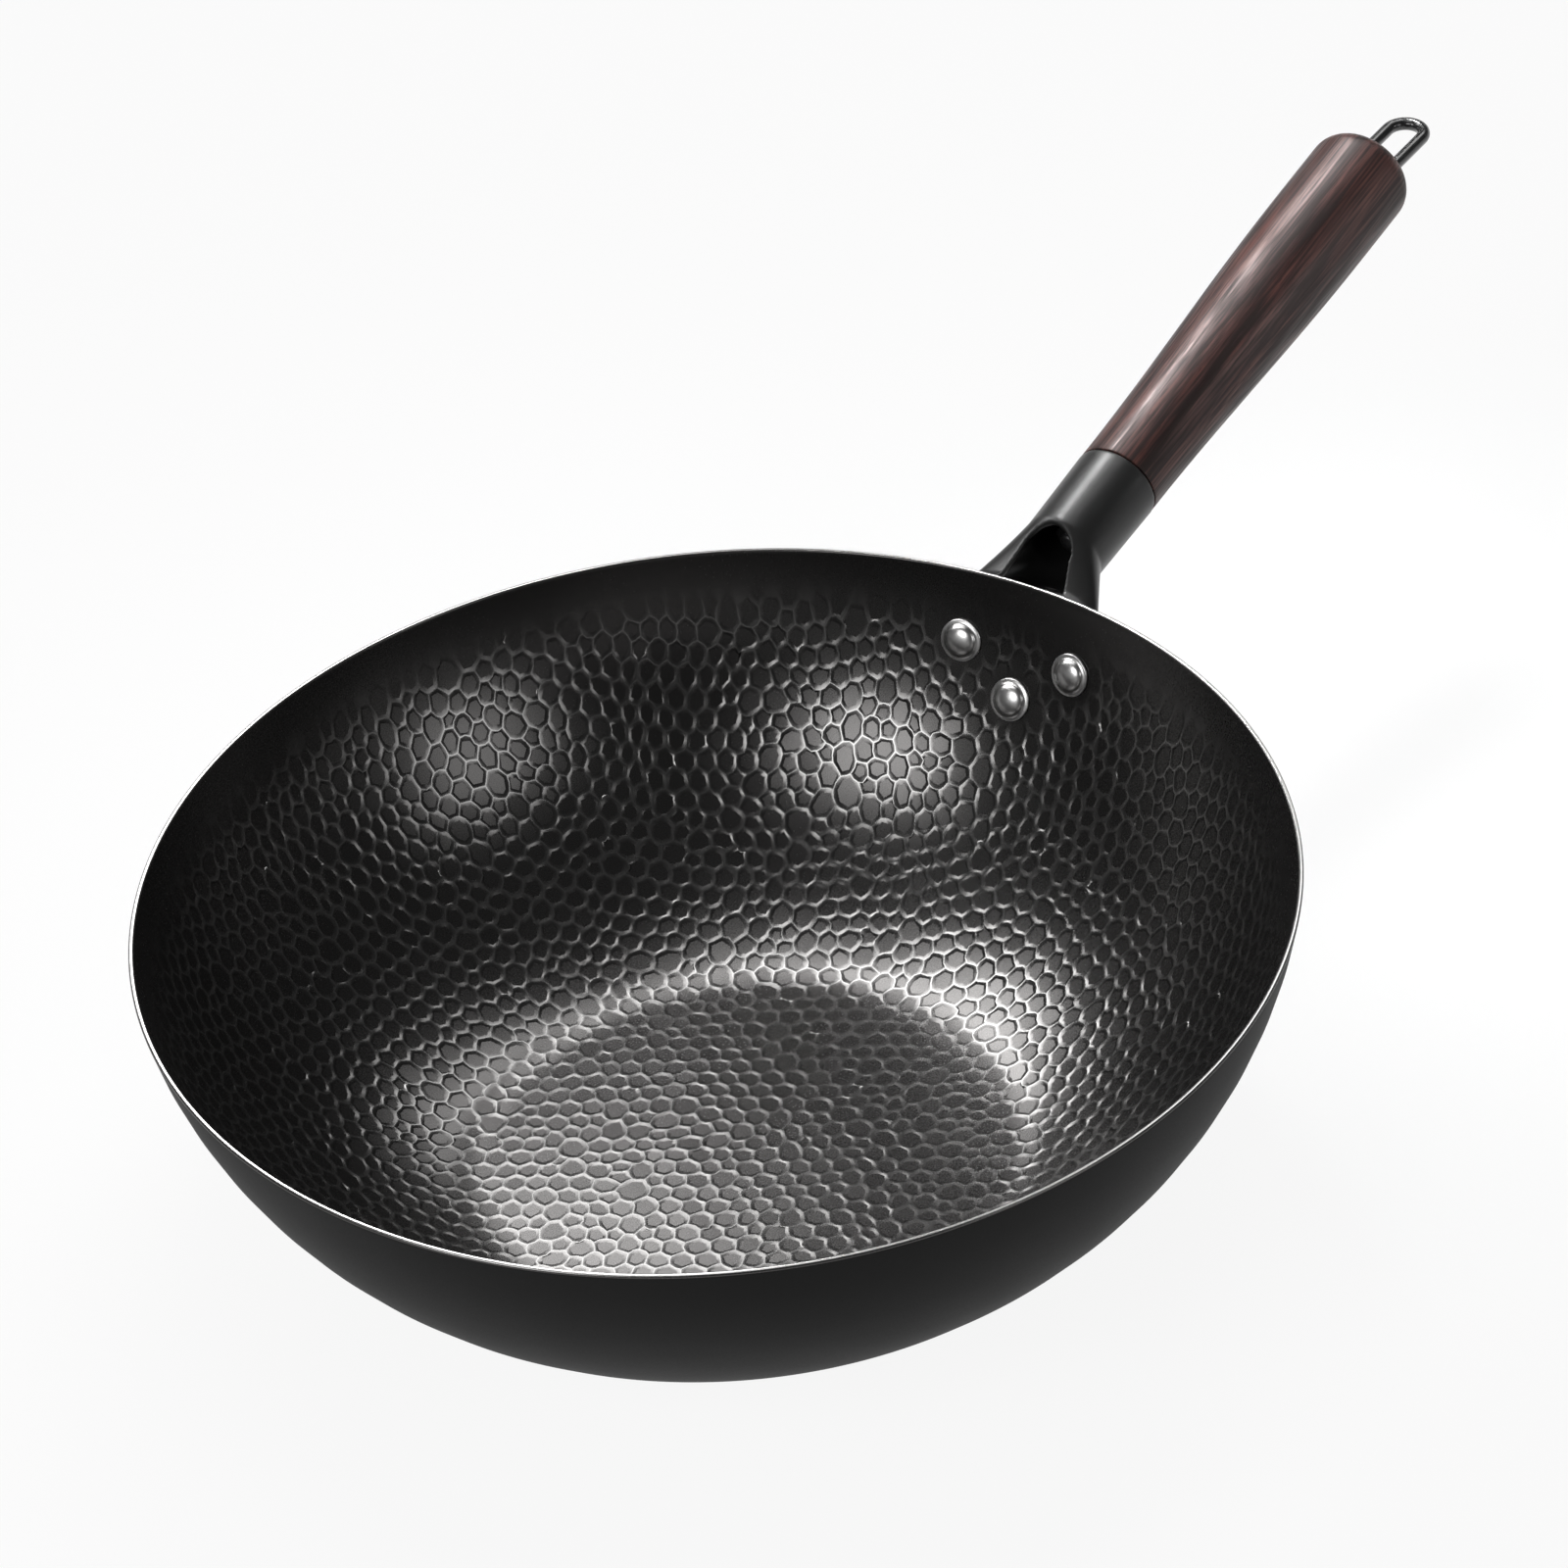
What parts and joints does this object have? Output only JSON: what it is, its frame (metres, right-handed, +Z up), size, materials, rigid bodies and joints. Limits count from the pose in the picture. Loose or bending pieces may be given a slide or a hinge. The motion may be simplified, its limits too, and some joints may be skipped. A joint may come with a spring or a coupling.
{
  "type": "carbon steel wok",
  "caption": "Flat-based carbon steel wok with a hammered inside, a riveted forked bracket, a turned wooden grip and a wire hanging loop.",
  "frame": {"origin": "centre of the flat base, on the surface that the wok rests on", "axes": "+X along the handle, away from the bowl; +Z up; the XZ plane is the plane of symmetry"},
  "size_m": [0.5488, 0.3198, 0.1423],
  "materials": {
    "seasoned_steel": "black seasoned steel, satin, hammered inside",
    "bare_steel": "polished",
    "black_bracket": "satin black",
    "rosewood": "dark red-brown oiled wood, satin",
    "plated_steel": "black zinc plated",
    "black_wire": "gloss black"
  },
  "bodies": {
    "wok": {"wok_bowl": "seasoned_steel", "rivet_left": "bare_steel", "rivet_right": "bare_steel", "rivet_lower": "bare_steel", "handle_bracket": "black_bracket", "wood_grip": "rosewood", "tie_rod": "plated_steel", "flat_washer": "plated_steel", "spring_washer": "plated_steel", "rod_nut": "plated_steel"},
    "loop": {"hanging_loop": "black_wire"}
  },
  "joints": [
    {"name": "loop_swing", "type": "hinge", "parent": "wok", "child": "loop", "pos_m": [0.35042, 0, 0.12613], "axis": [0, -1, 0], "range_deg": [0, 17]}
  ]
}
